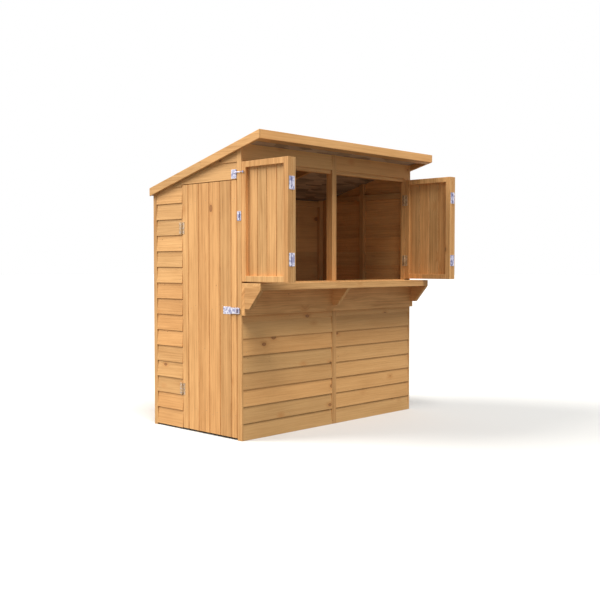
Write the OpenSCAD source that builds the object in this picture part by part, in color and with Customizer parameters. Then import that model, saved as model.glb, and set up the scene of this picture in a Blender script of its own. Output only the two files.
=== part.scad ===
// Garden bar: a small timber hut with a one-way sloping roof. Its long front has a serving
// hatch in two bays with folding shutters and an outside counter, and one end has a door.
// X runs along the front, Y from the front to the back, Z up, in millimetres. The origin is
// on the ground under the middle of the floor. Modules are written from the front left corner.

/* [Overall] */
// Width of the hut along its front
bar_w = 1830; // [1500:10:2400]
// Depth from the front face to the back face
bar_d = 950; // [800:10:1200]
// Height of the walls at the front face
front_h = 1965; // [1940:5:2400]
// Height of the walls at the back face
back_h = 1714; // [1700:2:1880]

/* [Walls] */
// Thickness of the overlapping wall boards, at the lap
clad_t = 14; // [10:1:20]
// Height of the end walls' lowest edge above the ground
side_clad_z = 12; // [5:1:30]
// Width of the trims at the front corners, seen on the end walls
trim_w = 42; // [40:1:70]
// Width of the trims at the back corners, seen on the end walls
rear_trim_w = 36; // [28:1:60]
// Thickness of the front wall's rails and middle post
front_frame_t = 44; // [34:1:60]
// Thickness of the framing in the end walls and the back wall
side_frame_t = 28; // [22:1:45]
// Width of the studs and rails, seen from inside
stud_w = 44; // [34:1:60]
// Width of the jambs beside the hatch, behind the end walls' boards
jamb_w = 56; // [50:1:80]
// Width of the middle post and of the cover strip in front of it
centre_post_w = 46; // [34:1:70]

/* [Floor] */
// Width of the bearers under the floor
bearer_w = 38; // [28:1:60]
// Height of the bearers under the floor
bearer_h = 38; // [28:1:60]
// Thickness of the floor boards
floor_t = 12; // [9:1:22]
// Gap between the floor and the boards of the end walls
floor_gap = 6; // [5:1:12]

/* [Hatch] */
// Height of the sill above the ground
sill_z = 1052; // [1020:1:1150]
// Height of the top of the hatch
hatch_top = 1829; // [1650:1:1840]
// Strip of the head rail left showing under the header boards
header_reveal = 25; // [20:1:40]

/* [Counter] */
// How far the counter stands out from the front wall
counter_reach = 178; // [140:2:280]
// Height of the top of the counter
counter_z = 1047; // [940:1:1050]
// Thickness of the counter board
counter_t = 20; // [16:1:28]
// Thickness of the lip along the front of the counter
lip_t = 18; // [14:1:28]
// Height of the lip
lip_h = 46; // [34:1:70]
// Thickness of the apron board under the counter
apron_t = 28; // [18:1:36]
// Height of the lower edge of the apron
apron_z = 833; // [700:1:860]
// Thickness of the counter's brackets
bracket_t = 30; // [20:1:44]
// Height of the lower edge of the brackets
bracket_z = 877; // [862:1:900]
// Length of the flat foot of a bracket in front of the apron
bracket_foot = 45; // [25:1:60]

/* [Shutters] */
// Thickness of a shutter leaf
leaf_t = 34.5; // [28:0.5:35]
// Gap between two folded leaves
leaf_gap = 1; // [0.5:0.5:3]
// Gap between a folded leaf and the wall
leaf_wall_gap = 2; // [1:0.5:4]
// Part of the jamb left uncovered by a closed shutter
shutter_margin = 36; // [30:1:50]
// Width of the leaf's stiles and rails
leaf_rail_w = 38; // [30:1:60]
// Thickness of the boards that close a leaf
leaf_panel_t = 10; // [8:1:14]
// Gap above the sill and beside the closed leaves
leaf_clear = 5; // [3:1:8]

/* [Roof] */
// Overhang of the roof at the front
overhang_front = 196; // [120:2:260]
// Overhang of the roof at the ends
overhang_side = 24; // [20:1:80]
// Overhang of the roof at the back
overhang_back = 15; // [13:1:60]
// Thickness of the roof deck, measured upright
deck_t = 11; // [9:1:22]
// Thickness of the roof felt, measured upright
felt_t = 3; // [2:0.5:6]
// Thickness of the fascia boards
fascia_t = 12; // [10:1:22]
// Height of the fascia boards
fascia_h = 57; // [45:1:90]
// Width of the batten behind the front fascia
edge_batten_w = 38; // [28:1:60]
// Width of the rafter under the middle of the deck
rafter_w = 28; // [22:1:44]
// Height of the rafter
rafter_h = 44; // [34:1:60]

/* [Door] */
// Width of the door
door_w = 570; // [480:5:600]
// Height of the door's top above the ground
door_top = 1725; // [1600:5:1725]
// Height of the door's lower edge above the ground
door_z = 15; // [8:1:30]
// Gap round the closed door
door_gap = 5; // [5:1:8]
// Thickness of the door's boards
door_board_t = 12; // [9:1:18]
// Thickness of the ledges behind the door's boards
ledge_t = 22; // [18:1:28]
// Height of each ledge
ledge_h = 70; // [50:1:100]

/* [Metalwork] */
// Height of a hinge
hinge_h = 84; // [60:1:110]
// Width of one leaf of a hinge
hinge_leaf_w = 25; // [18:1:30]
// Thickness of the hinge plates
plate_t = 1.5; // [1:0.1:3]
// Radius of a hinge's knuckle
knuckle_r = 4.5; // [3.5:0.1:6]
// Radius of a hinge's pin
pin_r = 2; // [1.5:0.1:2.5]
// Clearance round the pin in the door's knuckle
pin_clear = 0.06; // [0.02:0.01:0.1]
// Height of the hasp on the door
hasp_h = 50; // [36:1:60]
// Height of the middle of the hasp above the ground
hasp_z = 864; // [700:1:1100]

/* [Hidden] */
$fn = 32;

timber = "#d9a05f";
timber_shade = "#b5824c";
rough_timber = "#9a7448";
felt_green = "#4a4f4b";
zinc = "#c9ccd6";

// Heights and steps that follow the sizes above
roof_fall = (front_h - back_h) / bar_d;
function roof_z(y) = front_h - roof_fall * y;
frame_z = bearer_h + floor_t;
header_z = hatch_top + header_reveal;
fascia_drop = fascia_h - deck_t - felt_t;
jamb_x = clad_t + jamb_w;
post_x = [bar_w / 2 - centre_post_w / 2, bar_w / 2 + centre_post_w / 2];
bay_x = [[jamb_x, post_x[0]], [post_x[1], bar_w - jamb_x]];
back_frame_y = bar_d - clad_t - side_frame_t;
side_top_rail_z = back_h - 11;
mid_rail_z = 880;

// The door and what stands round it
door_y = trim_w + door_gap + 1;
door_end_y = door_y + door_w;
strip_y = door_end_y + door_gap;
door_head_z = door_top + door_gap;
ledge_inset = 10;
ledge_heights = [120, 840, 1560];
hinge_heights = [290, 1425];

// Door hinges: the pin stands just outside the door's face, over the gap at its back edge
pin_x = -knuckle_r - 0.5;
pin_y = door_end_y + door_gap / 2;
knuckle_gap = 0.5;
knuckle_h = hinge_h / 3;

// The folded shutters: the inner leaf's inside face is flush with the jamb's reveal
leaf_w = (bay_x[0][1] - shutter_margin - 4) / 2;
leaf_z = [sill_z + leaf_clear, header_z - 14];
leaf_end_y = -leaf_wall_gap - leaf_w;
inner_leaf_x = jamb_x - leaf_t;
outer_leaf_x = inner_leaf_x - leaf_gap - leaf_t;
shutter_hinge_z = [1200, 1679];
shutter_knuckle_r = 4;

// Puts what is drawn from the front left corner at its place round the origin
module placed() translate([-bar_w / 2, -bar_d / 2, 0]) children();

// A block between two values on each axis
module block(x, y, z)
    translate([x[0], y[0], z[0]]) cube([x[1] - x[0], y[1] - y[0], z[1] - z[0]]);

// An outline in Y and Z, as thick as the span in X
module slab(x, outline)
    translate([x[0], 0, 0]) rotate([90, 0, 90]) linear_extrude(x[1] - x[0]) polygon(outline);

// A block whose top is cut to the slope of the roof deck's underside
module to_roof(x, y, z)
    slab(x, [[y[0], z], [y[1], z], [y[1], roof_z(y[1])], [y[0], roof_z(y[0])]]);

// A piece that lies along the roof's slope, between two heights over the deck's underside
module along_roof(x, y, low, high)
    slab(x, [for (p = [[y[0], low], [y[1], low], [y[1], high], [y[0], high]])
        [p[0], roof_z(p[0]) + p[1]]]);

// Draws its children, and their mirror image at the other end of the hut
module both_ends() {
    children();
    translate([bar_w, 0, 0]) mirror([1, 0, 0]) children();
}

// ---- Floor ----

module bearers() color(rough_timber) placed()
    for (y = [clad_t, bar_d / 2 - bearer_w / 2, bar_d - clad_t - bearer_w])
        block([clad_t + floor_gap, bar_w - clad_t - floor_gap], [y, y + bearer_w], [0, bearer_h]);

module floor_deck() color(rough_timber) placed()
    block([clad_t + floor_gap, bar_w - clad_t - floor_gap], [clad_t, bar_d - clad_t],
        [bearer_h, frame_z]);

// ---- Framing ----

module front_posts() color(timber_shade) placed() {
    both_ends() {
        to_roof([clad_t, jamb_x], [clad_t, trim_w], frame_z);
        block([clad_t, jamb_x], [0, clad_t], [sill_z, header_z]);
    }
    to_roof(post_x, [clad_t, clad_t + front_frame_t], frame_z);
}

module front_rails() color(timber_shade) placed()
    for (x = bay_x, z = [frame_z, sill_z - stud_w, hatch_top])
        block(x, [clad_t, clad_t + front_frame_t], [z, z + stud_w]);

// Upright of an end wall, from the floor to the roof
module side_stud(y)
    to_roof([clad_t, clad_t + side_frame_t], [y, y + stud_w], frame_z);

// All of an end wall's framing layer that is over a height and under the roof
module side_reach(z)
    to_roof([clad_t, clad_t + side_frame_t], [clad_t, bar_d - clad_t], z);

// Rail of an end wall between two places in Y
module side_rail(y, z)
    block([clad_t, clad_t + side_frame_t], y, [z, z + stud_w]);

module left_studs() color(timber_shade) placed()
    for (y = [strip_y, back_frame_y - stud_w]) side_stud(y);

module left_rails() color(timber_shade) placed() {
    side_rail([trim_w, strip_y], door_head_z);
    for (z = [frame_z, mid_rail_z])
        side_rail([strip_y + stud_w, back_frame_y - stud_w], z);
}

module right_studs() color(timber_shade) placed()
    translate([bar_w, 0, 0]) mirror([1, 0, 0])
        for (y = [bar_d / 2 - stud_w / 2, back_frame_y - stud_w]) side_stud(y);

module right_rails() color(timber_shade) placed()
    translate([bar_w, 0, 0]) mirror([1, 0, 0])
        for (z = [frame_z, mid_rail_z, side_top_rail_z]) {
            side_rail([trim_w, bar_d / 2 - stud_w / 2], z);
            intersection() {
                side_rail([bar_d / 2 + stud_w / 2, back_frame_y - stud_w], z);
                side_reach(z);
            }
        }

// Left edges of the back wall's three studs
back_stud_x = [clad_t + side_frame_t, bar_w / 2 - stud_w / 2,
    bar_w - clad_t - side_frame_t - stud_w];

module back_studs() color(timber_shade) placed()
    for (x = back_stud_x) to_roof([x, x + stud_w], [back_frame_y, bar_d - clad_t], frame_z);

module back_rails() color(timber_shade) placed()
    for (i = [0, 1], z = [frame_z, mid_rail_z, back_h - 2 - stud_w])
        block([back_stud_x[i] + stud_w, back_stud_x[i + 1]], [back_frame_y, bar_d - clad_t],
            [z, z + stud_w]);

// ---- Walls ----

module front_lower_left() color(timber) placed()
    block([clad_t, post_x[0]], [0, clad_t], [0, sill_z]);

module front_lower_right() color(timber) placed()
    block([post_x[1], bar_w - clad_t], [0, clad_t], [0, sill_z]);

module front_header_boards() color(timber) placed() {
    to_roof([clad_t, post_x[0]], [0, clad_t], header_z);
    to_roof([post_x[1], bar_w - clad_t], [0, clad_t], header_z);
}

module centre_strip() color(timber) placed() to_roof(post_x, [0, clad_t], 0);

module left_rear_wall() color(timber) placed()
    to_roof([0, clad_t], [strip_y, bar_d - rear_trim_w], side_clad_z);

module left_header_wall() color(timber) placed()
    to_roof([0, clad_t], [trim_w, strip_y], door_head_z);

module right_wall() color(timber) placed()
    to_roof([bar_w - clad_t, bar_w], [trim_w, bar_d - rear_trim_w], side_clad_z);

module back_wall() color(timber) placed()
    to_roof([clad_t, bar_w - clad_t], [bar_d - clad_t, bar_d], side_clad_z);

module front_corner_trims() color(timber) placed()
    both_ends() to_roof([0, clad_t], [0, trim_w], 0);

module rear_corner_trims() color(timber) placed()
    both_ends() to_roof([0, clad_t], [bar_d - rear_trim_w, bar_d], 0);

// ---- Counter ----

module counter_top() color(timber) placed()
    block([0, bar_w], [lip_t - counter_reach, 0], [counter_z - counter_t, counter_z]);

module counter_lip() color(timber) placed()
    block([0, bar_w], [-counter_reach, lip_t - counter_reach], [counter_z - lip_h, counter_z]);

module counter_apron() color(timber) placed()
    block([0, bar_w], [-apron_t, 0], [apron_z, counter_z - counter_t]);

// A bracket's side: a flat foot, a slant up to the lip, and a step behind the lip
bracket_outline = [
    [-apron_t, bracket_z],
    [-apron_t - bracket_foot, bracket_z],
    [-counter_reach, counter_z - lip_h],
    [lip_t - counter_reach, counter_z - lip_h],
    [lip_t - counter_reach, counter_z - counter_t],
    [-apron_t, counter_z - counter_t]];

module counter_brackets() color(timber) placed()
    for (x = [0, post_x[0] - bracket_t, bar_w - bracket_t])
        slab([x, x + bracket_t], bracket_outline);

// ---- Roof ----

// Fitting gap between the deck and what carries it
roof_seat = 0.1;
roof_x = [fascia_t - overhang_side, bar_w + overhang_side - fascia_t];
roof_y = [fascia_t - overhang_front, bar_d + overhang_back - fascia_t];

module roof_deck() color(rough_timber) placed() along_roof(roof_x, roof_y, roof_seat, deck_t);

module roof_felt() color(felt_green) placed()
    along_roof(roof_x, roof_y, deck_t, deck_t + felt_t);

module roof_rafter() color(rough_timber) placed()
    along_roof([bar_w / 2 - rafter_w / 2, bar_w / 2 + rafter_w / 2],
        [clad_t + front_frame_t, back_frame_y], -rafter_h, 0);

// One behind the front fascia, and one between each bargeboard and its wall, 0.3 behind it
module roof_edge_battens() color(rough_timber) placed() {
    along_roof(roof_x, [roof_y[0], roof_y[0] + edge_batten_w], -fascia_drop, 0);
    both_ends()
        along_roof([roof_x[0], 0], [roof_y[0] + edge_batten_w + 0.3, roof_y[1]], -fascia_drop, 0);
}

module fascia_front() color(timber) placed()
    translate([0, 0, roof_z(-overhang_front) - fascia_drop])
        block(roof_x, [-overhang_front, fascia_t - overhang_front], [0, fascia_h]);

module fascia_back() color(timber) placed()
    translate([0, 0, roof_z(roof_y[1]) - fascia_drop])
        block(roof_x, [roof_y[1], bar_d + overhang_back], [0, fascia_h]);

// The board along the end of the roof
module bargeboard()
    along_roof([-overhang_side, fascia_t - overhang_side],
        [-overhang_front, bar_d + overhang_back], -fascia_drop, fascia_h - fascia_drop);

module bargeboard_left() color(timber) placed() bargeboard();

module bargeboard_right() color(timber) placed()
    translate([bar_w, 0, 0]) mirror([1, 0, 0]) bargeboard();

// ---- Shutters, folded open ----

// A leaf standing out from the wall: stiles and rails round boards set on one side.
// boards_first puts the boards on the side of the smaller x.
module leaf(x, boards_first) {
    recess_x = boards_first ? x + leaf_panel_t : x - 1;
    difference() {
        block([x, x + leaf_t], [leaf_end_y, -leaf_wall_gap], leaf_z);
        block([recess_x, recess_x + leaf_t - leaf_panel_t + 1],
            [leaf_end_y + leaf_rail_w, -leaf_wall_gap - leaf_rail_w],
            [leaf_z[0] + leaf_rail_w, leaf_z[1] - leaf_rail_w]);
    }
}

module shutter_left_outer() color(timber) placed() leaf(outer_leaf_x, false);

module shutter_left_inner() color(timber) placed() leaf(inner_leaf_x, true);

module shutter_right_inner() color(timber) placed()
    translate([bar_w, 0, 0]) mirror([1, 0, 0]) leaf(inner_leaf_x, true);

module shutter_right_outer() color(timber) placed()
    translate([bar_w, 0, 0]) mirror([1, 0, 0]) leaf(outer_leaf_x, false);

// Hinges across the outer ends of the two leaves, and from the inner leaf to the jamb
module shutter_hinges() color(zinc) placed() {
    fold_x = inner_leaf_x - leaf_gap / 2;
    both_ends() for (z = shutter_hinge_z) translate([0, 0, z - hinge_h / 2]) {
        block([fold_x - hinge_leaf_w, fold_x + hinge_leaf_w],
            [leaf_end_y - plate_t, leaf_end_y], [0, hinge_h]);
        translate([fold_x, leaf_end_y - shutter_knuckle_r - 0.2, 0])
            cylinder(r = shutter_knuckle_r, h = hinge_h);
        block([jamb_x, jamb_x + plate_t], [-leaf_wall_gap / 2 - hinge_leaf_w,
            hinge_leaf_w - leaf_wall_gap / 2], [0, hinge_h]);
        translate([jamb_x + shutter_knuckle_r + 0.2, -leaf_wall_gap / 2, 0])
            cylinder(r = shutter_knuckle_r, h = hinge_h);
    }
}

// ---- Catches on the end wall ----

hook_z = 1775;
hook_r = 3;
hook_x = -6;

// A hook on the header board that holds the folded shutters to the corner
module shutter_hook() color(zinc) placed() {
    block([-2, 0], [trim_w + 5, trim_w + 55], [hook_z - 40, hook_z + 20]);
    block([hook_x - hook_r, 0], [trim_w + 26, trim_w + 34], [hook_z - 7, hook_z + 7]);
    translate([hook_x, trim_w + 30, hook_z]) rotate([90, 0, 0])
        cylinder(r = hook_r, h = trim_w + 30 + leaf_wall_gap + 22);
    block([hook_x - hook_r, outer_leaf_x], [-leaf_wall_gap - 24, -leaf_wall_gap - 16],
        [hook_z - 7, hook_z + 7]);
}

button_z = [1457, 1519];

// A button that turns on a plate on the corner trim
module turn_button() color(zinc) placed() {
    block([-2, 0], [2, trim_w - 2], button_z);
    translate([-8, trim_w / 2, (button_z[0] + button_z[1]) / 2]) rotate([0, 90, 0])
        cylinder(r = 6, h = 8);
    block([-8, -5], [trim_w / 2 - 6, trim_w / 2 + 6], [button_z[0] + 4, button_z[1] - 4]);
}

// ---- Hasp and staple: the staple stands in the strap's slot with room all round ----

staple_y = [32, 37];
staple_half_h = 10;
hasp_clear = 5;
strap_x = [-10, -8];
strap_end_y = 15;
hasp_riser_y = 100;
hasp_end_y = 181;

module door_staple() color(zinc) placed() {
    block([-2, 0], [17, trim_w], [hasp_z - 20, hasp_z + 20]);
    block([-22, 0], staple_y, [hasp_z - staple_half_h, hasp_z + staple_half_h]);
}

module door_hasp() color(zinc) placed() {
    block([-2, 0], [hasp_riser_y, hasp_end_y], [hasp_z - hasp_h / 2, hasp_z + hasp_h / 2]);
    block([strap_x[0], 0], [hasp_riser_y, hasp_riser_y + 8],
        [hasp_z - hasp_h / 2, hasp_z + hasp_h / 2]);
    difference() {
        block(strap_x, [strap_end_y, hasp_riser_y + 8], [hasp_z - 20, hasp_z + 20]);
        block([strap_x[0] - 1, strap_x[1] + 1],
            [staple_y[0] - hasp_clear, staple_y[1] + hasp_clear],
            [hasp_z - staple_half_h - hasp_clear, hasp_z + staple_half_h + hasp_clear]);
    }
}

// ---- Door and its hinges ----

module door_boards() color(timber) placed()
    block([0, door_board_t], [door_y, door_end_y], [door_z, door_top]);

module door_ledges() color(timber_shade) placed()
    for (z = ledge_heights)
        block([door_board_t, door_board_t + ledge_t],
            [door_y + ledge_inset, door_end_y - ledge_inset], [z, z + ledge_h]);

// The pin with the two outer knuckles and the leaf on the wall
module door_frame_hinges() color(zinc) placed()
    for (z = hinge_heights) translate([0, 0, z - hinge_h / 2]) {
        block([-plate_t, 0], [pin_y + knuckle_r, pin_y + knuckle_r + hinge_leaf_w], [0, hinge_h]);
        for (k = [0, 2 * knuckle_h + knuckle_gap]) {
            translate([pin_x, pin_y, k]) cylinder(r = knuckle_r, h = knuckle_h - knuckle_gap);
            block([-plate_t, 0], [pin_y, pin_y + knuckle_r + 1], [k, k + knuckle_h - knuckle_gap]);
        }
        translate([pin_x, pin_y, 0]) cylinder(r = pin_r, h = hinge_h);
    }

// The middle knuckle and the leaf on the door
module door_hinge_leaves() color(zinc) placed()
    for (z = hinge_heights) translate([0, 0, z - hinge_h / 2]) {
        block([-plate_t, 0], [pin_y - knuckle_r - hinge_leaf_w, pin_y - knuckle_r], [0, hinge_h]);
        difference() {
            union() {
                translate([pin_x, pin_y, knuckle_h]) cylinder(r = knuckle_r, h = knuckle_h);
                block([-plate_t, 0], [pin_y - knuckle_r - 1, pin_y],
                    [knuckle_h, 2 * knuckle_h]);
            }
            translate([pin_x, pin_y, knuckle_h - 1])
                cylinder(r = pin_r + pin_clear, h = knuckle_h + 2);
        }
    }

bearers();
floor_deck();
front_posts();
front_rails();
left_studs();
left_rails();
right_studs();
right_rails();
back_studs();
back_rails();
front_lower_left();
front_lower_right();
front_header_boards();
centre_strip();
left_rear_wall();
left_header_wall();
right_wall();
back_wall();
front_corner_trims();
rear_corner_trims();
counter_top();
counter_lip();
counter_apron();
counter_brackets();
roof_deck();
roof_felt();
roof_rafter();
roof_edge_battens();
fascia_front();
fascia_back();
bargeboard_left();
bargeboard_right();
shutter_left_outer();
shutter_left_inner();
shutter_right_inner();
shutter_right_outer();
shutter_hinges();
shutter_hook();
turn_button();
door_staple();
door_frame_hinges();
door_boards();
door_ledges();
door_hinge_leaves();
door_hasp();
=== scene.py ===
import random
from math import pi, radians

import bpy
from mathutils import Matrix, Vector


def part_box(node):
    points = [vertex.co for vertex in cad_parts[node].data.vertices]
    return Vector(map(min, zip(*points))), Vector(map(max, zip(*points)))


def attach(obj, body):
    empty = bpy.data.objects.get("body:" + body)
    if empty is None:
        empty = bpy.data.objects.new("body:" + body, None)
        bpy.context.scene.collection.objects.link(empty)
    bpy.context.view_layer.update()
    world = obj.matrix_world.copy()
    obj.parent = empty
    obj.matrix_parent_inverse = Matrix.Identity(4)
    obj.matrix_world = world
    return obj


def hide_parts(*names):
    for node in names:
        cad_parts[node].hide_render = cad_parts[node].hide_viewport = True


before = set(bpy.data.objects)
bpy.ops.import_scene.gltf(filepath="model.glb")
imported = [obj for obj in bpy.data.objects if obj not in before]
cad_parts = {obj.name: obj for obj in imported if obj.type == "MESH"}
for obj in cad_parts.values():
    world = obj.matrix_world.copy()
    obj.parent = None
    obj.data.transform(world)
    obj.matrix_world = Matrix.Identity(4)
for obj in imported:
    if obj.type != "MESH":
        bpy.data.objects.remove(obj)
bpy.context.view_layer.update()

scene = bpy.context.scene
scene.view_settings.view_transform = "Standard"
bpy.ops.object.select_all(action="DESELECT")
random.seed(4)

# ---- Camera ----
# Stands a little over counter height off the front left corner, with a mild lens,
# and looks slightly down at the hut.
bpy.ops.object.camera_add(
    location=(-4.803, -4.749, 1.168), rotation=(radians(90 - 2.3), 0, radians(-46.1)))
camera = bpy.context.object
camera.data.sensor_width = 36
camera.data.lens = 52.7
camera.data.clip_end = 200
scene.camera = camera

# ---- Studio: floor, sky and two soft lamps ----
# A pale floor that takes the hut's shadow but throws little light back up, an even sky that is plain white to the camera
# and in reflections, a broad lamp behind on the left that lights the door end and leaves
# the front in shade, and a weak one high in front, which the overhangs keep off the wall.


def add(tree, kind, links=None, **settings):
    """Adds a shader node; links maps a socket to a value or to another node's output."""
    node = tree.nodes.new(kind)
    for key, value in settings.items():
        setattr(node, key, value)
    for socket, source in (links or {}).items():
        if isinstance(source, bpy.types.NodeSocket):
            tree.links.new(source, node.inputs[socket])
        else:
            node.inputs[socket].default_value = source
    return node


def seen_directly(tree):
    """1 for rays from the camera, off metal or through glass, 0 for rays that carry light."""
    path = add(tree, "ShaderNodeLightPath").outputs
    seen = add(tree, "ShaderNodeMath", {0: path["Is Camera Ray"], 1: path["Is Glossy Ray"]},
               operation="MAXIMUM").outputs[0]
    return add(tree, "ShaderNodeMath", {0: seen, 1: path["Is Transmission Ray"]},
               operation="MAXIMUM").outputs[0]


world = bpy.data.worlds.new("studio_sky")
scene.world = world
world.use_nodes = True
world.node_tree.nodes.clear()
fill = add(world.node_tree, "ShaderNodeBackground", {"Color": (0.96, 0.985, 1, 1), "Strength": 0.42})
white = add(world.node_tree, "ShaderNodeBackground", {"Color": (1, 1, 1, 1), "Strength": 1})
sky = add(world.node_tree, "ShaderNodeMixShader",
          {0: seen_directly(world.node_tree), 1: fill.outputs[0], 2: white.outputs[0]})
add(world.node_tree, "ShaderNodeOutputWorld", {"Surface": sky.outputs[0]})

for name, travel, energy, angle, tint in (
        ("key_from_behind_left", (0.545, -0.567, -0.616), 3.25, 34, (1, 0.965, 0.9)),
        ("fill_from_front", (0.2, 0.44, -0.875), 2.5, 24, (1, 0.99, 0.96))):
    bpy.ops.object.light_add(type="SUN")
    lamp = bpy.context.object
    lamp.name = name
    lamp.rotation_euler = Vector(travel).to_track_quat("-Z", "Y").to_euler()
    lamp.data.energy = energy
    lamp.data.angle = radians(angle)
    lamp.data.color = tint

bpy.ops.mesh.primitive_plane_add(size=160, location=(0, 0, 0))
floor = bpy.context.object
floor.name = "studio_floor"
floor_paint = bpy.data.materials.new("studio_floor_paint")
floor_paint.use_nodes = True
paint = floor_paint.node_tree.nodes["Principled BSDF"]
tint = add(floor_paint.node_tree, "ShaderNodeMix", data_type="RGBA")
tint.inputs[6].default_value = (0.15, 0.15, 0.145, 1)
tint.inputs[7].default_value = (0.74, 0.735, 0.725, 1)
floor_paint.node_tree.links.new(seen_directly(floor_paint.node_tree), tint.inputs[0])
floor_paint.node_tree.links.new(tint.outputs[2], paint.inputs["Base Color"])
paint.inputs["Roughness"].default_value = 0.9
floor.data.materials.append(floor_paint)

# ---- Timber: the figure that every board shares ----
# Dip-treated softwood: honey and orange growth lines along the board, fine saw fibres, small
# brown knots that bend the lines, and a tone of its own for each board.


def new_group(name, inputs, outputs):
    """A node group with the named sockets, and its input and output nodes."""
    tree = bpy.data.node_groups.new(name, "ShaderNodeTree")
    for socket, kind in inputs:
        tree.interface.new_socket(socket, in_out="INPUT", socket_type=kind)
    for socket, kind in outputs:
        tree.interface.new_socket(socket, in_out="OUTPUT", socket_type=kind)
    return tree, tree.nodes.new("NodeGroupInput").outputs, tree.nodes.new("NodeGroupOutput").inputs


def maths(tree, operation, a, b=0.0, c=0.0):
    return add(tree, "ShaderNodeMath", {0: a, 1: b, 2: c}, operation=operation).outputs[0]


def vector(tree, operation, a, b):
    return add(tree, "ShaderNodeVectorMath", {0: a, 1: b}, operation=operation).outputs[0]


def ramp(tree, value, low, high, start=0.0, end=1.0):
    return add(tree, "ShaderNodeMapRange", {"Value": value, "From Min": low, "From Max": high,
               "To Min": start, "To Max": end}, interpolation_type="SMOOTHSTEP").outputs[0]


def mix(tree, factor, a, b, blend="MIX"):
    node = add(tree, "ShaderNodeMix", data_type="RGBA", blend_type=blend)
    for index, source in ((0, factor), (6, a), (7, b)):
        if isinstance(source, bpy.types.NodeSocket):
            tree.links.new(source, node.inputs[index])
        else:
            node.inputs[index].default_value = source
    return node.outputs[2]


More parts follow.
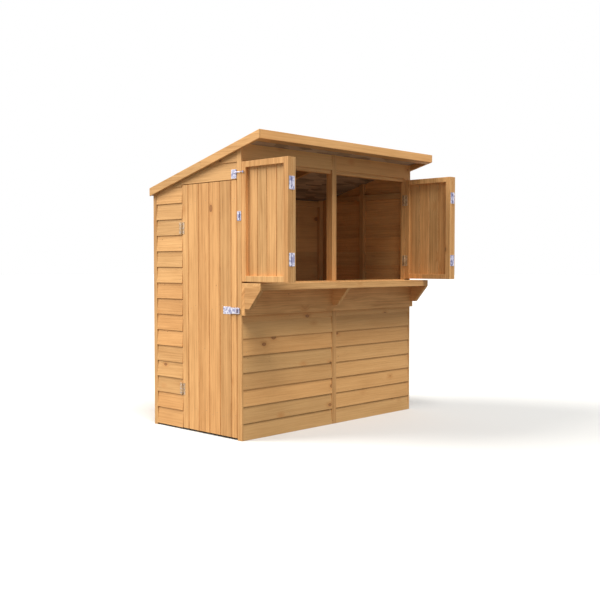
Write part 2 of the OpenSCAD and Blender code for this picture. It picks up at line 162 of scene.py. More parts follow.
def timber_group():
    """Vector runs across, through and along the board, in metres; Board is its own number set."""
    tree, give, take = new_group(
        "timber_figure",
        [("Vector", "NodeSocketVector"), ("Board", "NodeSocketVector"),
         ("Light", "NodeSocketColor"), ("Deep", "NodeSocketColor"), ("Knots", "NodeSocketFloat")],
        [("Color", "NodeSocketColor"), ("Roughness", "NodeSocketFloat"),
         ("Height", "NodeSocketFloat")])
    place = vector(tree, "ADD", give["Vector"],
                   vector(tree, "MULTIPLY", give["Board"], (1.7, 5.3, 9.1)))
    own = add(tree, "ShaderNodeSeparateXYZ", {0: give["Board"]}).outputs
    spots = add(tree, "ShaderNodeTexVoronoi",
                {"Vector": vector(tree, "MULTIPLY", place, (1, 0.5, 0.62)), "Scale": 7.5},
                feature="F1")
    chance = add(tree, "ShaderNodeSeparateColor", {0: spots.outputs["Color"]}).outputs
    radius = maths(tree, "MULTIPLY_ADD", chance[1], 0.07, 0.04)
    has_knot = maths(tree, "LESS_THAN", chance[0], give["Knots"])
    inside = maths(tree, "SUBTRACT", radius, spots.outputs["Distance"])
    knot = maths(tree, "MULTIPLY", ramp(tree, inside, -0.012, 0.014), has_knot)
    ring = maths(tree, "MULTIPLY", has_knot, ramp(
        tree, maths(tree, "ABSOLUTE", maths(tree, "ADD", inside, 0.01)), 0.0, 0.03, 1, 0))
    bend = maths(tree, "MULTIPLY", has_knot,
                 ramp(tree, spots.outputs["Distance"], 0.02, 0.3, 1, 0))
    wavy = vector(tree, "ADD", vector(tree, "MULTIPLY", place, (1, 1, 0.085)),
                  add(tree, "ShaderNodeCombineXYZ",
                      {0: maths(tree, "MULTIPLY", bend, 0.03)}).outputs[0])
    lines = add(tree, "ShaderNodeTexWave", {"Vector": wavy, "Scale": 16.0, "Distortion": 13.0,
                "Detail": 3.0, "Detail Scale": 1.1}, wave_type="BANDS",
                bands_direction="X").outputs["Fac"]
    sharp = maths(tree, "POWER", lines, 2.2)
    blotch = add(tree, "ShaderNodeTexNoise", {
        "Vector": vector(tree, "MULTIPLY", place, (1, 1, 0.3)), "Scale": 9.0,
        "Detail": 3.0}).outputs["Fac"]
    fibre = add(tree, "ShaderNodeTexNoise", {
        "Vector": vector(tree, "MULTIPLY", place, (230, 230, 7)), "Scale": 1.0,
        "Detail": 3.0, "Roughness": 0.65}).outputs["Fac"]
    streak = add(tree, "ShaderNodeTexNoise", {
        "Vector": vector(tree, "MULTIPLY", place, (38, 38, 0.9)), "Scale": 1.0,
        "Detail": 3.0, "Roughness": 0.6}).outputs["Fac"]
    depth = maths(tree, "MULTIPLY", sharp, 0.24)
    depth = maths(tree, "MULTIPLY_ADD", ramp(tree, streak, 0.36, 0.66), 0.38, depth)
    depth = maths(tree, "MULTIPLY_ADD", ramp(tree, blotch, 0.3, 0.72), 0.34, depth)
    depth = maths(tree, "MULTIPLY_ADD", ramp(tree, fibre, 0.35, 0.75), 0.24, depth)
    body = mix(tree, depth, give["Light"], give["Deep"])
    body = mix(tree, maths(tree, "MULTIPLY", own[1], 0.35), body, (1.0, 0.72, 0.5, 1), "MULTIPLY")
    tone = maths(tree, "MULTIPLY_ADD", own[0], 0.22, 0.89)
    bright = add(tree, "ShaderNodeCombineColor", {0: tone, 1: tone, 2: tone}).outputs[0]
    body = mix(tree, 1.0, body, bright, "MULTIPLY")
    body = mix(tree, maths(tree, "MULTIPLY", bend, 0.6), body, (0.56, 0.225, 0.06, 1))
    body = mix(tree, maths(tree, "MULTIPLY", knot, 0.8), body, (0.36, 0.145, 0.045, 1))
    body = mix(tree, maths(tree, "MULTIPLY", ring, 0.7), body, (0.15, 0.055, 0.02, 1))
    pins = add(tree, "ShaderNodeTexVoronoi", {
        "Vector": vector(tree, "MULTIPLY", place, (1, 1, 0.55)), "Scale": 27.0})
    rare = add(tree, "ShaderNodeSeparateColor", {0: pins.outputs["Color"]}).outputs
    pin = maths(tree, "MULTIPLY", maths(tree, "LESS_THAN", rare[0], 0.075),
                ramp(tree, pins.outputs["Distance"], 0.05, 0.11, 1, 0))
    body = mix(tree, maths(tree, "MULTIPLY", pin, 0.75), body, (0.24, 0.09, 0.03, 1))
    rough = maths(tree, "MULTIPLY_ADD", fibre, 0.22, 0.52)
    rough = maths(tree, "MULTIPLY_ADD", knot, -0.18, rough)
    height = maths(tree, "MULTIPLY_ADD", sharp, 0.45, fibre)
    height = maths(tree, "MULTIPLY_ADD", ring, -0.8, height)
    for socket, source in (("Color", body), ("Roughness", rough), ("Height", height)):
        tree.links.new(source, take[socket])
    return tree


def edge_group():
    """Mask that is 1 along the arrises of a piece, broken up by small dents."""
    tree, give, take = new_group("edge_wear", [("Reach", "NodeSocketFloat")],
                                 [("Mask", "NodeSocketFloat")])
    soft = add(tree, "ShaderNodeBevel", {"Radius": give["Reach"]}, samples=4).outputs[0]
    true = add(tree, "ShaderNodeNewGeometry").outputs["Normal"]
    turned = add(tree, "ShaderNodeVectorMath", {0: soft, 1: true},
                 operation="DOT_PRODUCT").outputs["Value"]
    dents = add(tree, "ShaderNodeTexNoise", {
        "Vector": add(tree, "ShaderNodeTexCoord").outputs["Object"], "Scale": 55.0,
        "Detail": 2.0}).outputs["Fac"]
    mask = maths(tree, "MULTIPLY", ramp(tree, turned, 0.995, 0.86), ramp(tree, dents, 0.3, 0.6))
    tree.links.new(mask, take["Mask"])
    return tree


timber_figure = timber_group()
edge_wear = edge_group()


def timber(name, along, light, deep, knots=0.3, relief=0.35):
    """A timber whose grain runs along X, Y or Z of the hut."""
    material = bpy.data.materials.new(name)
    material.use_nodes = True
    tree = material.node_tree
    shader = tree.nodes["Principled BSDF"]
    xyz = add(tree, "ShaderNodeSeparateXYZ",
              {0: add(tree, "ShaderNodeTexCoord").outputs["Object"]}).outputs
    run = "XYZ".index(along)
    first, second = [i for i in range(3) if i != run]
    across = maths(tree, "ADD", xyz[first], xyz[second])
    coordinates = add(tree, "ShaderNodeCombineXYZ", {0: across, 1: 0.0, 2: xyz[run]}).outputs[0]
    board = add(tree, "ShaderNodeAttribute", attribute_name="board").outputs["Vector"]
    figure = tree.nodes.new("ShaderNodeGroup")
    figure.node_tree = timber_figure
    tree.links.new(coordinates, figure.inputs["Vector"])
    tree.links.new(board, figure.inputs["Board"])
    figure.inputs["Light"].default_value = (*light, 1)
    figure.inputs["Deep"].default_value = (*deep, 1)
    figure.inputs["Knots"].default_value = knots
    wear = tree.nodes.new("ShaderNodeGroup")
    wear.node_tree = edge_wear
    wear.inputs["Reach"].default_value = 0.004
    worn = mix(tree, maths(tree, "MULTIPLY", wear.outputs["Mask"], 0.5),
               figure.outputs["Color"], (*[min(1, c * 1.22) for c in light], 1))
    tree.links.new(worn, shader.inputs["Base Color"])
    tree.links.new(figure.outputs["Roughness"], shader.inputs["Roughness"])
    bump = add(tree, "ShaderNodeBump", {"Height": figure.outputs["Height"],
               "Strength": relief, "Distance": 0.0012})
    tree.links.new(bump.outputs[0], shader.inputs["Normal"])
    shader.inputs["Specular IOR Level"].default_value = 0.25
    return material


honey = (0.8, 0.465, 0.192)
orange = (0.57, 0.3, 0.108)
cladding = {"X": timber("cladding_along_X", "X", (0.78, 0.46, 0.19), (0.64, 0.35, 0.132),
                        0.52, 0.5),
            "Y": timber("cladding_along_Y", "Y", honey, orange, 0.52, 0.5)}
planed = {run: timber("planed_along_" + run, run, (0.85, 0.5, 0.21), (0.5, 0.25, 0.085),
                      0.34, 0.25) for run in "XYZ"}
sawn = {run: timber("framing_along_" + run, run, (0.66, 0.385, 0.16), (0.46, 0.225, 0.075),
                    0.26, 0.6) for run in "XYZ"}


# ---- Overlap boards of the walls ----
# Thin sawn boards, feathered towards the top, each nailed over the one below so that its
# lower edge stands out as a line of shade. They run to the corner trims.


def select(*objects):
    bpy.ops.object.select_all(action="DESELECT")
    for thing in objects:
        thing.select_set(True)
    bpy.context.view_layer.objects.active = objects[0]


def plank(low, high):
    """A box between two corners, as a new object with its place in its mesh."""
    bpy.ops.mesh.primitive_cube_add(
        size=1, location=[(a + b) / 2 for a, b in zip(low, high)],
        scale=[b - a for a, b in zip(low, high)])
    thing = bpy.context.object
    select(thing)
    bpy.ops.object.transform_apply(location=True, rotation=True, scale=True)
    return thing


def pick(thing, test, kind="vertices"):
    """Selects, in edit mode's data, the vertices or edges whose middle passes the test."""
    bpy.ops.object.mode_set(mode="OBJECT")
    mesh = thing.data
    for group in (mesh.polygons, mesh.edges, mesh.vertices):
        for item in group:
            item.select = False
    for item in getattr(mesh, kind):
        if kind == "vertices":
            middle = item.co
        else:
            ends = [mesh.vertices[v].co for v in item.vertices]
            middle = sum(ends, Vector()) / len(ends)
        item.select = bool(test(middle, item))
    bpy.ops.object.mode_set(mode="EDIT")


def edit(thing, kind="EDGE"):
    select(thing)
    bpy.ops.object.mode_set(mode="EDIT")
    bpy.ops.mesh.select_mode(type=kind)


def leave_edit():
    bpy.ops.object.mode_set(mode="OBJECT")


def copy_of(thing, shift=(0, 0, 0)):
    double = thing.copy()
    double.data = thing.data.copy()
    bpy.context.collection.objects.link(double)
    double.location = Vector(shift)
    return double


def mark_board(thing, tone=None):
    """Gives every point of a board its own three numbers, which the timber reads."""
    numbers = [random.random() if tone is None else tone, random.random(), random.random(), 1]
    mesh = thing.data
    layer = mesh.attributes.get("board") or mesh.attributes.new("board", "FLOAT_COLOR", "POINT")
    for point in layer.data:
        point.color = numbers


def join(name, things, material, turn=0.0, place=(0, 0, 0)):
    """Joins things under a name, turns them about Z, moves them to a place and paints them."""
    select(*things)
    if len(things) > 1:
        bpy.ops.object.join()
    piece = bpy.context.object
    bpy.ops.object.transform_apply(location=True, rotation=True, scale=True)
    piece.rotation_euler = (0, 0, turn)
    piece.location = place
    bpy.ops.object.transform_apply(location=True, rotation=True, scale=True)
    piece.name = piece.data.name = name
    piece.data.materials.clear()
    piece.data.materials.append(material)
    for face in piece.data.polygons:
        face.material_index = 0
    return piece


def finish(piece, body, slot, *nodes):
    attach(piece, body)
    if nodes:
        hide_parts(*nodes)


board_cover = 0.113
board_lap = 0.013
feather = 0.0055
trim_low, trim_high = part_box("front_corner_trims")
rear_low, rear_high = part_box("rear_corner_trims")
roof_fall = (trim_high.z - rear_high.z) / (rear_low.y - trim_low.y)
lap_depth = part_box("right_wall")[1].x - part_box("right_wall")[0].x


def cut_to_roof(piece, drop=0.0):
    """Cuts a piece along the underside of the roof deck."""
    edit(piece)
    bpy.ops.mesh.select_all(action="SELECT")
    bpy.ops.mesh.bisect(plane_co=(0, trim_low.y, trim_high.z - drop),
                        plane_no=(0, roof_fall, 1), use_fill=True, clear_outer=True)
    leave_edit()


def lap_board(length):
    """One board: outer face leaning in towards the top, lower front edge eased."""
    board = plank((0, 0, 0), (length, lap_depth / 2, board_cover + board_lap))
    edit(board, "VERT")
    pick(board, lambda at, item: at.z > board_cover)
    bpy.ops.transform.translate(value=(0, lap_depth / 2, 0))
    pick(board, lambda at, item: at.z > board_cover and at.y < 0.8 * lap_depth)
    bpy.ops.transform.translate(value=(0, lap_depth / 2 - feather, 0))
    bpy.ops.mesh.select_mode(type="EDGE")
    pick(board, lambda at, item: at.z < 0.001 and at.y < 0.001, "edges")
    bpy.ops.mesh.bevel(offset=0.0018, segments=2, affect="EDGES")
    leave_edit()
    return board


def lap_wall(name, node, length, bottoms, top, turn, place, run, to_roof=True):
    """A wall of overlap boards, drawn along X with its outer face to -Y, then turned."""
    first = lap_board(length)
    boards = []
    for level in bottoms:
        board = copy_of(first, (0, 0, level))
        mark_board(board)
        select(board)
        bpy.ops.object.transform_apply(location=True, rotation=False, scale=False)
        if level + board_cover + board_lap > top:
            edit(board)
            bpy.ops.mesh.select_all(action="SELECT")
            bpy.ops.mesh.bisect(plane_co=(0, 0, top), plane_no=(0, 0, 1), use_fill=True,
                                clear_outer=True)
            leave_edit()
        boards.append(board)
    bpy.data.objects.remove(first)
    wall = join(name, boards, cladding[run], turn, place)
    if to_roof:
        cut_to_roof(wall)
    finish(wall, "hut", "cladding", node)
    return wall


def levels(start, low, high):
    """Lower edges of the boards between two heights: the first at low, then in step."""
    steps = [low]
    level = start
    while level < high - 0.012:
        if level > low + 0.02:
            steps.append(level)
        level += board_cover
    return steps


for node in ("front_lower_left", "front_lower_right"):
    low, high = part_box(node)
    lap_wall(node + "_boards", node, high.x - low.x, levels(0, low.z, high.z), high.z, 0,
             (low.x, low.y, 0), "X", to_roof=False)

header_low, header_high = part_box("front_header_boards")
post_low, post_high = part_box("centre_strip")
side_start = 0.021
door_head = 1.730
for node, turn, run, start in (("left_rear_wall", -pi / 2, "Y", side_start),
                               ("left_header_wall", -pi / 2, "Y", door_head),
                               ("right_wall", pi / 2, "Y", side_start),
                               ("back_wall", pi, "X", side_start)):
    low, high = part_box(node)
    corner = {-pi / 2: (low.x, high.y, 0), pi / 2: (high.x, low.y, 0), pi: (high.x, high.y, 0)}
    length = high.x - low.x if run == "X" else high.y - low.y
    lap_wall(node + "_boards", node, length, levels(start, low.z, high.z), high.z + 0.05, turn,
             corner[turn], run)

# The header over the hatch is one board high, in two lengths either side of the cover strip.
header_boards = []
for left, right in ((header_low.x, post_low.x), (post_high.x, header_high.x)):
    board = lap_board(right - left)
    board.location = (left, header_low.y, header_low.z)
    mark_board(board)
    header_boards.append(board)
header = join("front_header_overlap_boards", header_boards, cladding["X"])
cut_to_roof(header)
finish(header, "hut", "cladding", "front_header_boards")


# ---- Plain timbers: trims, counter, framing, fascias ----
# Planed or sawn lengths of softwood with eased arrises, cut square and nailed. Each starts
# as a copy of its own solid, so that it keeps the length and the cut of the real piece.


def eased(name, node, ease, material, body="hut", slot="planed_boards"):
    """A copy of a node with its triangles merged to flat faces and its arrises eased."""
    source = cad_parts[node]
    piece = source.copy()
    piece.data = source.data.copy()
    piece.parent = None
    bpy.context.collection.objects.link(piece)
    edit(piece, "VERT")
    bpy.ops.mesh.select_all(action="SELECT")
    bpy.ops.mesh.remove_doubles(threshold=0.00002)
    bpy.ops.mesh.dissolve_limited(angle_limit=radians(0.3))
    bpy.ops.mesh.separate(type="LOOSE")
    leave_edit()
    parts = [piece] + [o for o in bpy.context.selected_objects if o != piece]
    for part in parts:
        mark_board(part)
        select(part)
        bevel = part.modifiers.new("ease", "BEVEL")
        bevel.width = ease
        bevel.segments = 2
        bevel.limit_method = "ANGLE"
        bpy.ops.object.modifier_apply(modifier="ease")
    piece = join(name, parts, material)
    finish(piece, body, slot, node)
    return piece


eased("centre_cover_strip", "centre_strip", 0.0016, planed["Z"])
eased("front_corner_trim_boards", "front_corner_trims", 0.0016, planed["Z"])
eased("rear_corner_trim_boards", "rear_corner_trims", 0.0016, planed["Z"])
eased("counter_shelf_board", "counter_top", 0.0016, planed["X"])
eased("counter_lip_board", "counter_lip", 0.0025, planed["X"])
eased("counter_apron_board", "counter_apron", 0.0016, planed["X"])
eased("counter_bracket_plates", "counter_brackets", 0.0018, planed["Y"])
pale_board = timber("fascia_along_X", "X", (0.95, 0.59, 0.265), (0.72, 0.4, 0.15), 0.34, 0.25)
eased("front_fascia_board", "fascia_front", 0.0016, pale_board)
eased("back_fascia_board", "fascia_back", 0.0016, planed["X"])
eased("right_bargeboard", "bargeboard_right", 0.0016, planed["Y"])
eased("front_post_timbers", "front_posts", 0.0016, planed["Z"], slot="framing")
eased("front_rail_timbers", "front_rails", 0.0016, planed["X"], slot="framing")
for node, run in (("left_studs", "Z"), ("right_studs", "Z"), ("back_studs", "Z"),
                  ("left_rails", "Y"), ("right_rails", "Y"), ("back_rails", "X"),
                  ("roof_rafter", "Y"), ("roof_edge_battens", "X")):
    eased(node + "_timbers", node, 0.0015, sawn[run], slot="framing")
eased("door_ledge_timbers", "door_ledges", 0.0025, sawn["Y"], "door", "framing")
eased("bearer_timbers", "bearers", 0.002, sawn["X"], slot="floor_and_deck")

# ---- Left bargeboard ----
# Made up from two lengths of board, butted halfway along the slope.
barge = eased("left_bargeboard", "bargeboard_left", 0.0016, planed["Y"])
barge_low, barge_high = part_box("bargeboard_left")
joint_y = (barge_low.y + barge_high.y) / 2
barge_rear = copy_of(barge)
for half, side in ((barge, 1), (barge_rear, -1)):
    edit(half)
    bpy.ops.mesh.select_all(action="SELECT")
    bpy.ops.mesh.bisect(plane_co=(0, joint_y - side * 0.0009, 0), plane_no=(0, side, 0),
                        use_fill=True, clear_outer=True)
    leave_edit()
    mark_board(half, 0.45 + side * 0.1)
barge_rear.name = barge_rear.data.name = "left_bargeboard_rear"
finish(barge_rear, "hut", "planed_boards")


# ---- Door boards ----
# Six tongued and grooved boards with a V at every joint, nailed to the ledges inside. The
# outer two are ripped down to the width of the door.


def upright_boards(edges, low_z, high_z, thick, vee=0.0042):
    """Boards along Z between places in X, outer face at y = 0, vees cut on both arrises,
    and a narrow tongue set back in every joint."""
    boards = []
    for joint in edges[1:-1]:
        boards.append(plank((joint - 0.002, thick * 0.55, low_z + 0.001),
                            (joint + 0.002, thick * 0.85, high_z - 0.001)))
        mark_board(boards[-1])
    gap = 0.0009
    for left, right in zip(edges, edges[1:]):
        board = plank((left + (gap if left > edges[0] else 0), 0, low_z),
                      (right - (gap if right < edges[-1] else 0), thick, high_z))
        edit(board)
        pick(board, lambda at, item: at.y < 0.001 and low_z + 0.01 < at.z < high_z - 0.01,
             "edges")
        bpy.ops.mesh.bevel(offset=vee, segments=1, affect="EDGES")
        leave_edit()
        mark_board(board)
        boards.append(board)
    return boards


door_low, door_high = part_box("door_boards")
door_w = door_high.y - door_low.y
narrow_board = 0.066
board_w = (door_w - narrow_board * 0.85 - narrow_board) / 4
edges = [0, narrow_board] + [narrow_board + board_w * (i + 1) for i in range(4)] + [door_w]
door = join("door_matchboards",
            upright_boards(edges, door_low.z, door_high.z, door_high.x - door_low.x),
            planed["Z"], -pi / 2, (door_low.x, door_high.y, 0))
finish(door, "door", "planed_boards", "door_boards")

# ---- Shutters ----
# Four leaves in two folding pairs. Each has stiles and rails round four upright boards, and
# is hung on butt hinges, so that a pair folds face to face and stands out from the jamb.
leaf_low, leaf_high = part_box("shutter_left_outer")
leaf_t = leaf_high.x - leaf_low.x
leaf_w = leaf_high.y - leaf_low.y
stile_w = 0.038
panel_t = 0.010
for node, turn in (("shutter_left_outer", -pi / 2), ("shutter_left_inner", pi / 2),
                   ("shutter_right_inner", -pi / 2), ("shutter_right_outer", pi / 2)):
    low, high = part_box(node)
    inner = [stile_w + (leaf_w - 2 * stile_w) * i / 4 for i in range(5)]
    boards = upright_boards([0.0] + inner[1:4] + [leaf_w], low.z, high.z, panel_t, 0.003)
    for board in boards:
        board.location.y = leaf_t - panel_t
    frame_depth = leaf_t - panel_t - 0.0002
    members = [((0, 0, low.z), (stile_w, frame_depth, high.z)),
               ((leaf_w - stile_w, 0, low.z), (leaf_w, frame_depth, high.z)),
               ((stile_w, 0.0004, low.z), (leaf_w - stile_w, frame_depth, low.z + stile_w)),
               ((stile_w, 0.0004, high.z - stile_w), (leaf_w - stile_w, frame_depth, high.z))]
    stiles = []
    for corner, far in members:
        member = plank(corner, far)
        edit(member)
        bpy.ops.mesh.select_all(action="SELECT")
        bpy.ops.mesh.bevel(offset=0.0014, segments=2, affect="EDGES")
        leave_edit()
        mark_board(member)
        stiles.append(member)
    place = (low.x, high.y, 0) if turn < 0 else (high.x, low.y, 0)
    panel = join(node + "_boards", boards, planed["Z"], turn, place)
    finish(panel, "hut", "planed_boards")
    rim = join(node + "_stiles_and_rails", stiles, planed["Z"], turn, place)
    finish(rim, "hut", "planed_boards", node)


# ---- Floor and roof sheets ----
# The floor is narrow boards on the bearers; the roof deck is pressed chip sheet, dark
# brown and patchy, with green-grey mineral felt in three widths nailed over it.


def chip_sheet():
    material = bpy.data.materials.new("pressed_chip_sheet")
    material.use_nodes = True
    tree = material.node_tree
    shader = tree.nodes["Principled BSDF"]
    place = add(tree, "ShaderNodeTexCoord").outputs["Object"]
    chips = add(tree, "ShaderNodeTexVoronoi", {"Vector": vector(
        tree, "MULTIPLY", place, (0.5, 1.8, 1)), "Scale": 15.0}, feature="F1")
    shade = add(tree, "ShaderNodeSeparateColor", {0: chips.outputs["Color"]}).outputs[0]
    fibre = add(tree, "ShaderNodeTexNoise", {"Vector": vector(
        tree, "MULTIPLY", place, (18, 160, 60)), "Scale": 1.0, "Detail": 3.0}).outputs["Fac"]
    colour = mix(tree, shade, (0.15, 0.095, 0.055, 1), (0.52, 0.37, 0.24, 1))
    colour = mix(tree, maths(tree, "MULTIPLY", fibre, 0.5), colour, (0.2, 0.12, 0.06, 1))
    tree.links.new(colour, shader.inputs["Base Color"])
    tree.links.new(maths(tree, "MULTIPLY_ADD", fibre, 0.2, 0.6), shader.inputs["Roughness"])
    bump = add(tree, "ShaderNodeBump", {"Height": shade, "Strength": 0.25, "Distance": 0.001})
    tree.links.new(bump.outputs[0], shader.inputs["Normal"])
    return material


def repaint(node, material):
    """Puts a material on a CAD node that keeps its own shape."""
    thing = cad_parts[node]
    thing.data.materials.clear()
    thing.data.materials.append(material)


chips = chip_sheet()
repaint("roof_deck", chips)

floor_low, floor_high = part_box("floor_deck")
count = 9
step = (floor_high.y - floor_low.y) / count
floor_boards = []
for i in range(count):
    board = plank((floor_low.x, floor_low.y + i * step + 0.0006, floor_low.z),
                  (floor_high.x, floor_low.y + (i + 1) * step - 0.0006, floor_high.z))
    edit(board)
    bpy.ops.mesh.select_all(action="SELECT")
    bpy.ops.mesh.bevel(offset=0.0012, segments=1, affect="EDGES")
    leave_edit()
    mark_board(board)
    floor_boards.append(board)
finish(join("floor_boards", floor_boards, sawn["X"]), "hut", "floor_and_deck", "floor_deck")


def mineral_felt():
    material = bpy.data.materials.new("mineral_felt")
    material.use_nodes = True
    tree = material.node_tree
    shader = tree.nodes["Principled BSDF"]
    place = add(tree, "ShaderNodeTexCoord").outputs["Object"]
    grit = add(tree, "ShaderNodeTexVoronoi", {"Vector": place, "Scale": 700.0}, feature="F1")
    shade = add(tree, "ShaderNodeSeparateColor", {0: grit.outputs["Color"]}).outputs[0]
    cloud = add(tree, "ShaderNodeTexNoise", {"Vector": place, "Scale": 4.0,
                "Detail": 4.0}).outputs["Fac"]
    colour = mix(tree, shade, (0.055, 0.066, 0.052, 1), (0.17, 0.185, 0.15, 1))
    colour = mix(tree, ramp(tree, cloud, 0.35, 0.7, 0, 0.45), colour, (0.07, 0.08, 0.068, 1))
    tree.links.new(colour, shader.inputs["Base Color"])
    shader.inputs["Roughness"].default_value = 0.92
    bump = add(tree, "ShaderNodeBump", {"Height": maths(tree, "MULTIPLY_ADD", cloud, 1.5, shade),
               "Strength": 0.5, "Distance": 0.0012})
    tree.links.new(bump.outputs[0], shader.inputs["Normal"])
    return material


felt_low, felt_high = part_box("roof_felt")
sheet_t = 0.0013
felt_lap = 0.075
run_y = felt_high.y - felt_low.y
sheets = []
for i in range(3):
    near = run_y * i / 3
    far = min(run_y, run_y * (i + 1) / 3 + felt_lap)
    sheet = plank((felt_low.x, felt_low.y + near, 0), (felt_high.x, felt_low.y + far, sheet_t))
    lap_y = felt_low.y + far - felt_lap
    if i < 2:
        edit(sheet)
        for cut in (lap_y - 0.006, lap_y - 0.001):
            bpy.ops.mesh.select_all(action="SELECT")
            bpy.ops.mesh.bisect(plane_co=(0, cut, 0), plane_no=(0, 1, 0))
        pick(sheet, lambda at, item: at.y > lap_y - 0.003)
        bpy.ops.transform.translate(value=(0, 0, sheet_t + 0.0002))
        leave_edit()
    for point in sheet.data.vertices:
        point.co.z += felt_high.z - 0.003 - roof_fall * (point.co.y - felt_low.y)
    sheets.append(sheet)
felt = join("roof_felt_sheets", sheets, mineral_felt())
finish(felt, "hut", "roof_felt", "roof_felt")


# ---- Metalwork ----
# Pressed steel: butt hinges, the hasp and its staple, a hook and a turn button. The
# hinges and the hasp have screws. The fold hinges and catches are bright zinc; the hinges
# of the door and those on the jambs are a dull brown.


def zinc_plate(name, dark, bright, metallic, roughness):
    material = bpy.data.materials.new(name)
    material.use_nodes = True
    tree = material.node_tree
    shader = tree.nodes["Principled BSDF"]
    place = add(tree, "ShaderNodeTexCoord").outputs["Object"]
    cloud = add(tree, "ShaderNodeTexNoise", {"Vector": place, "Scale": 60.0,
                "Detail": 4.0}).outputs["Fac"]
    brushed = add(tree, "ShaderNodeTexNoise", {"Vector": vector(
        tree, "MULTIPLY", place, (900, 900, 60)), "Scale": 1.0, "Detail": 2.0}).outputs["Fac"]
    colour = mix(tree, ramp(tree, cloud, 0.42, 0.58), (*dark, 1), (*bright, 1))
    wear = tree.nodes.new("ShaderNodeGroup")
    wear.node_tree = edge_wear
    wear.inputs["Reach"].default_value = 0.0012
    colour = mix(tree, maths(tree, "MULTIPLY", wear.outputs["Mask"], 0.6), colour,
                 (0.86, 0.86, 0.88, 1))
    tree.links.new(colour, shader.inputs["Base Color"])
    shader.inputs["Metallic"].default_value = metallic
    tree.links.new(maths(tree, "MULTIPLY_ADD", brushed, 0.25, roughness),
                   shader.inputs["Roughness"])
    bump = add(tree, "ShaderNodeBump", {"Height": brushed, "Strength": 0.12, "Distance": 0.0004})
    tree.links.new(bump.outputs[0], shader.inputs["Normal"])
    return material


zinc = zinc_plate("zinc_plate", (0.3, 0.3, 0.46), (0.68, 0.67, 0.76), 0.8, 0.22)
brown_steel = zinc_plate("brown_steel", (0.42, 0.27, 0.14), (0.6, 0.42, 0.25), 0.35, 0.45)
for node, body, metal in (("shutter_hinges", "hut", zinc), ("shutter_hook", "hut", zinc),
                          ("turn_button", "hut", zinc), ("door_staple", "hut", zinc),
                          ("door_hasp", "door", zinc), ("door_frame_hinges", "hut", brown_steel),
                          ("door_hinge_leaves", "door", brown_steel)):
    piece = eased(node + "_metal", node, 0.0004, metal, body, "zinc")
    if node == "shutter_hinges":
        # Behind the middle of the leaves are the jamb hinges, which are brown.
        piece.data.materials.append(brown_steel)
        for face in piece.data.polygons:
            face.material_index = int(face.center.y > (leaf_low.y + leaf_high.y) / 2)


def screw(at, out):
    """A screw head at a place, facing along out, with a shallow round recess in it."""
    bpy.ops.mesh.primitive_cylinder_add(vertices=12, radius=0.0034, depth=0.0012)
    head = bpy.context.object
    edit(head, "FACE")
    pick(head, lambda middle, item: middle.z > 0.0005 and len(item.vertices) > 4, "polygons")
    bpy.ops.mesh.inset(thickness=0.0012)
    bpy.ops.mesh.inset(thickness=0.0006)
    bpy.ops.transform.translate(value=(0, 0, -0.0007))
    leave_edit()
    head.rotation_euler = Vector(out).to_track_quat("Z", "Y").to_euler()
    head.location = Vector(at) + Vector(out) * 0.0004
    return head


screws = {"hut": [], "door": []}
hinge_h = 0.084
plate = 0.0015
for node, body in (("door_frame_hinges", "hut"), ("door_hinge_leaves", "door")):
    low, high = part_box(node)
    plate_y = high.y - 0.0125 if body == "hut" else low.y + 0.0125
    for base in (low.z, high.z - hinge_h):
        for rise in (0.014, 0.042, 0.070):
            screws[body].append(screw((high.x - plate, plate_y, base + rise), (-1, 0, 0)))
low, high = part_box("door_hasp")
for y in (high.y - 0.014, high.y - 0.058):
    for z in (low.z + 0.012, high.z - 0.012):
        screws["door"].append(screw((high.x - 0.002, y, z), (-1, 0, 0)))
low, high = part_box("shutter_hinges")
for mirror in (-1, 1):
    for base in (low.z, high.z - hinge_h):
        for rise in (0.014, 0.042, 0.070):
            for gap in (0.0175, -0.0175):
                x = mirror * (trim_high.x - 0.035 - gap)
                screws["hut"].append(screw((x, leaf_low.y - plate, base + rise), (0, -1, 0)))
for body, heads in screws.items():
    finish(join(body + "_screws", heads, zinc), body, "zinc")

# ---- Nails ----
# Flat nail heads: one in each wall board where it crosses a post or stud, and two in each
# door board at every ledge.


def nail(at, out):
    bpy.ops.mesh.primitive_cylinder_add(vertices=8, radius=0.0019, depth=0.0008)
    head = bpy.context.object
    head.rotation_euler = Vector(out).to_track_quat("Z", "Y").to_euler()
    head.location = at
    return head


def nail_metal():
    material = bpy.data.materials.new("nail_heads")
    material.use_nodes = True
    tree = material.node_tree
    shader = tree.nodes["Principled BSDF"]
    spot = add(tree, "ShaderNodeTexNoise", {
        "Vector": add(tree, "ShaderNodeTexCoord").outputs["Object"],
        "Scale": 300.0}).outputs["Fac"]
    colour = mix(tree, spot, (0.25, 0.17, 0.12, 1), (0.42, 0.33, 0.26, 1))
    tree.links.new(colour, shader.inputs["Base Color"])
    shader.inputs["Metallic"].default_value = 0.5
    shader.inputs["Roughness"].default_value = 0.5
    return material


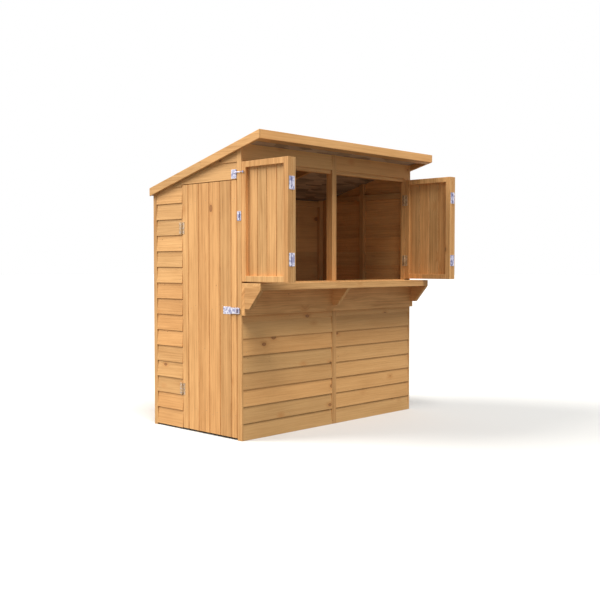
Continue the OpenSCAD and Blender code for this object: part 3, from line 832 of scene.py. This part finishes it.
lean = (lap_depth - feather) / (board_cover + board_lap)
nail_up = 0.024
heads = []
low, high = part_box("front_lower_left")
near_x = [low.x + 0.03, (low.x + high.x) / 2, high.x - 0.03]
for x in near_x + [-x for x in near_x]:
    for level in levels(0, low.z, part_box("counter_apron")[0].z):
        heads.append(nail((x, low.y + lean * nail_up, level + nail_up), (0, -1, 0)))
low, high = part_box("left_rear_wall")
for y in (low.y + 0.025, high.y - 0.025):
    for level in levels(side_start, low.z, high.z - 0.1):
        heads.append(nail((low.x + lean * nail_up, y, level + nail_up), (-1, 0, 0)))
low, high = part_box("right_wall")
for y in (low.y + 0.025, (low.y + high.y) / 2, high.y - 0.025):
    for level in levels(side_start, low.z, high.z - 0.3):
        heads.append(nail((high.x - lean * nail_up, y, level + nail_up), (1, 0, 0)))
low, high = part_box("back_wall")
for x in (low.x + 0.04, 0.0, high.x - 0.04):
    for level in levels(side_start, low.z, high.z - 0.05):
        heads.append(nail((x, high.y - lean * nail_up, level + nail_up), (0, 1, 0)))
nail_paint = nail_metal()
finish(join("cladding_nails", heads, nail_paint), "hut", "zinc")
heads = []
for base in (0.155, 0.875, 1.595):
    for left, right in zip(edges, edges[1:]):
        for share in (0.3, 0.7):
            y = door_high.y - (left + (right - left) * share)
            heads.append(nail((door_low.x, y, base + (share - 0.5) * 0.05), (-1, 0, 0)))
finish(join("door_nails", heads, nail_paint), "door", "zinc")

# ---- Felt nails ----
# Galvanised clout nails, close along both laps and along the front and back edges of the felt.
heads = []
count_x = 24
for i in range(count_x):
    x = felt_low.x + 0.03 + (felt_high.x - felt_low.x - 0.06) * i / (count_x - 1)
    for along, lift in ((0.03, 0), (run_y / 3 + 0.05, 0.0015), (run_y * 2 / 3 + 0.05, 0.0015),
                        (run_y - 0.03, 0)):
        height = felt_high.z - 0.003 + sheet_t + lift - roof_fall * along
        head = nail((x, felt_low.y + along, height - 0.0003), (0, roof_fall, 1))
        head.scale = (1.9, 1.9, 0.9)
        heads.append(head)
finish(join("felt_nails", heads, nail_paint), "hut", "zinc")
